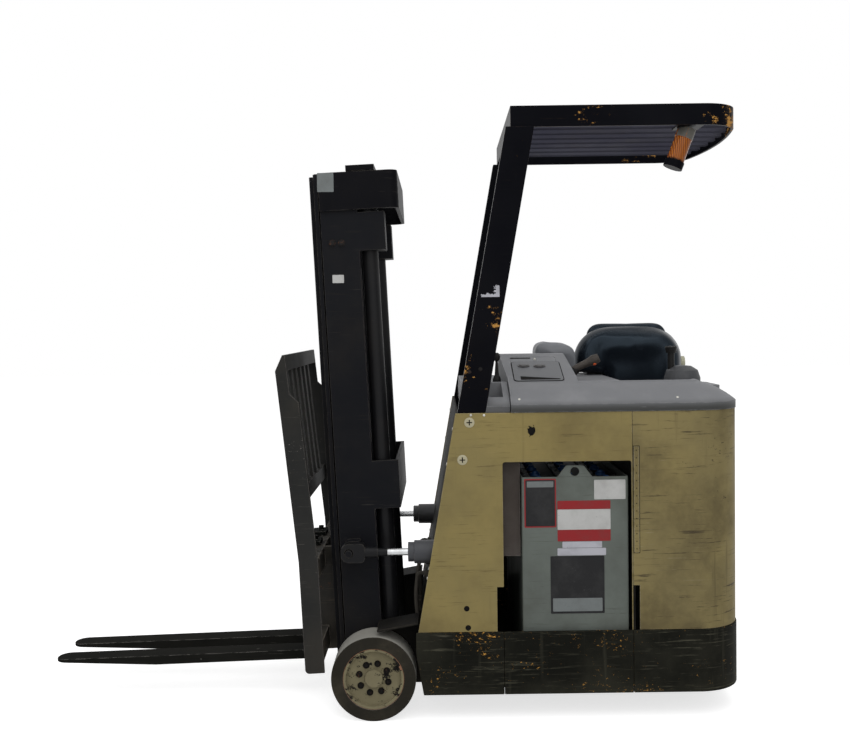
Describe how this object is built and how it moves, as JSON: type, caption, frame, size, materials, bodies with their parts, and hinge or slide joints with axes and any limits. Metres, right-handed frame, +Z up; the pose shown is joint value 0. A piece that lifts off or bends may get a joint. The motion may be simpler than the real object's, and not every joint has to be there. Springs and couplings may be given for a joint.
{
  "type": "stand-up counterbalanced forklift",
  "caption": "Compact electric stand-up forklift: three-stage mast with forks and load backrest, side battery window, rear operator compartment and a two-post overhead guard.",
  "frame": {"origin": "centre of the bounding box's base, on the floor", "axes": "+X towards the fork tips, +Y to the truck's left side, +Z up"},
  "size_m": [2.803, 1.016, 2.336],
  "materials": {
    "tan_paint": "satin",
    "skirt_black": "satin",
    "frame_black": "satin",
    "guard_black": "gloss",
    "mast_black": "satin",
    "fork_steel": "satin",
    "chrome_rod": "polished",
    "battery_green": "satin",
    "cell_black": "matte",
    "cover_grey": "matte",
    "vinyl": "satin",
    "pad_grey": "satin",
    "mat_rubber": "matte",
    "control_black": "satin",
    "amber_lens": "gloss",
    "tyre_grey": "matte",
    "rim_tan": "satin"
  },
  "bodies": {
    "chassis": {"base_frame": "frame_black", "bulkheads": "frame_black", "front_plate": "frame_black", "side_panels": "tan_paint", "rear_panels": "tan_paint", "front_skirts": "skirt_black", "battery_gates": "skirt_black", "rear_skirts": "skirt_black", "battery_case": "battery_green", "battery_cells": "cell_black", "drive_axle": "frame_black", "axle_arms": "frame_black", "drive_hoses": "mat_rubber", "operator_floor": "frame_black", "floor_mat": "mat_rubber", "liners": "frame_black", "cover_left": "cover_grey", "hood": "cover_grey", "console": "cover_grey", "front_tray": "cover_grey", "backrest_shell": "cover_grey", "back_pad": "vinyl", "arm_pad": "pad_grey", "control_handle": "control_black", "guard_roof": "guard_black", "guard_slats": "guard_black", "guard_posts": "guard_black", "beacon": "amber_lens", "tilt_anchor_pins": "frame_black"},
    "outer_mast": {"mast_outer": "mast_black", "lift_cylinders": "mast_black"},
    "middle_mast": {"mast_middle": "mast_black", "lift_rods": "chrome_rod"},
    "inner_mast": {"mast_inner": "mast_black", "free_lift_cylinder": "mast_black"},
    "free_lift_rod": {"free_lift_rod": "chrome_rod"},
    "carriage": {"carriage": "mast_black", "load_backrest": "mast_black", "fork_left": "fork_steel", "fork_right": "fork_steel"},
    "front_wheel_left": {"front_tyre_left": "tyre_grey", "front_rim_left": "rim_tan"},
    "front_wheel_right": {"front_tyre_right": "tyre_grey", "front_rim_right": "rim_tan"},
    "steer_yoke": {"steer_yoke": "frame_black"},
    "steer_wheels": {"steer_tyres": "tyre_grey", "steer_hubs": "rim_tan"},
    "tilt_barrel_left": {"tilt_barrel_left": "mast_black"},
    "tilt_barrel_right": {"tilt_barrel_right": "mast_black"},
    "tilt_rod_left": {"tilt_rod_left": "chrome_rod"},
    "tilt_rod_right": {"tilt_rod_right": "chrome_rod"},
    "steering_tiller": {"steering_tiller": "control_black"}
  },
  "joints": [
    {"name": "mast_tilt", "type": "hinge", "parent": "chassis", "child": "outer_mast", "pos_m": [0.05206, 0, 0.163], "axis": [0, 1, 0], "range_deg": [-5.4, 2.6]},
    {"name": "middle_lift", "type": "slide", "parent": "outer_mast", "child": "middle_mast", "axis": [0.0419, 0, 0.9991], "range_m": [0, 1.55]},
    {"name": "inner_lift", "type": "slide", "parent": "middle_mast", "child": "inner_mast", "axis": [0.0419, 0, 0.9991], "range_m": [0, 1.55]},
    {"name": "carriage_lift", "type": "slide", "parent": "inner_mast", "child": "carriage", "axis": [0.0419, 0, 0.9991], "range_m": [-0.085, 1.4]},
    {"name": "free_rod_lift", "type": "slide", "parent": "inner_mast", "child": "free_lift_rod", "axis": [0.0419, 0, 0.9991], "range_m": [-0.0425, 0.7]},
    {"name": "front_wheel_left", "type": "hinge", "parent": "chassis", "child": "front_wheel_left", "pos_m": [0.05206, 0.438, 0.163], "axis": [0, 1, 0], "continuous": true},
    {"name": "front_wheel_right", "type": "hinge", "parent": "chassis", "child": "front_wheel_right", "pos_m": [0.05206, -0.438, 0.163], "axis": [0, 1, 0], "continuous": true},
    {"name": "rear_steer", "type": "hinge", "parent": "chassis", "child": "steer_yoke", "pos_m": [-1.15294, 0, 0.1], "axis": [0, 0, 1], "range_deg": [-90, 90]},
    {"name": "rear_wheels", "type": "hinge", "parent": "steer_yoke", "child": "steer_wheels", "pos_m": [-1.15294, 0, 0.1], "axis": [0, 1, 0], "continuous": true},
    {"name": "tiller_turn", "type": "hinge", "parent": "chassis", "child": "steering_tiller", "pos_m": [-1.21494, 0.15, 1.262], "axis": [0, 0, 1], "continuous": true},
    {"name": "tilt_barrel_left", "type": "hinge", "parent": "chassis", "child": "tilt_barrel_left", "pos_m": [-0.34994, 0.415, 0.634], "axis": [0, 1, 0], "range_deg": [-1.22, 0.69]},
    {"name": "tilt_rod_left", "type": "slide", "parent": "tilt_barrel_left", "child": "tilt_rod_left", "axis": [1, 0, 0], "range_m": [-0.0464, 0.0234]},
    {"name": "tilt_barrel_right", "type": "hinge", "parent": "chassis", "child": "tilt_barrel_right", "pos_m": [-0.34994, -0.415, 0.634], "axis": [0, 1, 0], "range_deg": [-1.22, 0.69]},
    {"name": "tilt_rod_right", "type": "slide", "parent": "tilt_barrel_right", "child": "tilt_rod_right", "axis": [1, 0, 0], "range_m": [-0.0464, 0.0234]}
  ],
  "couplings": [
    {"joint": "inner_lift", "follows": "middle_lift", "ratio": 1},
    {"joint": "free_rod_lift", "follows": "carriage_lift", "ratio": 0.5},
    {"joint": "tilt_barrel_left", "follows": "mast_tilt", "ratio": 0.18788},
    {"joint": "tilt_rod_left", "follows": "mast_tilt", "m_per_rad": 0.471},
    {"joint": "tilt_barrel_right", "follows": "mast_tilt", "ratio": 0.18788},
    {"joint": "tilt_rod_right", "follows": "mast_tilt", "m_per_rad": 0.471}
  ]
}
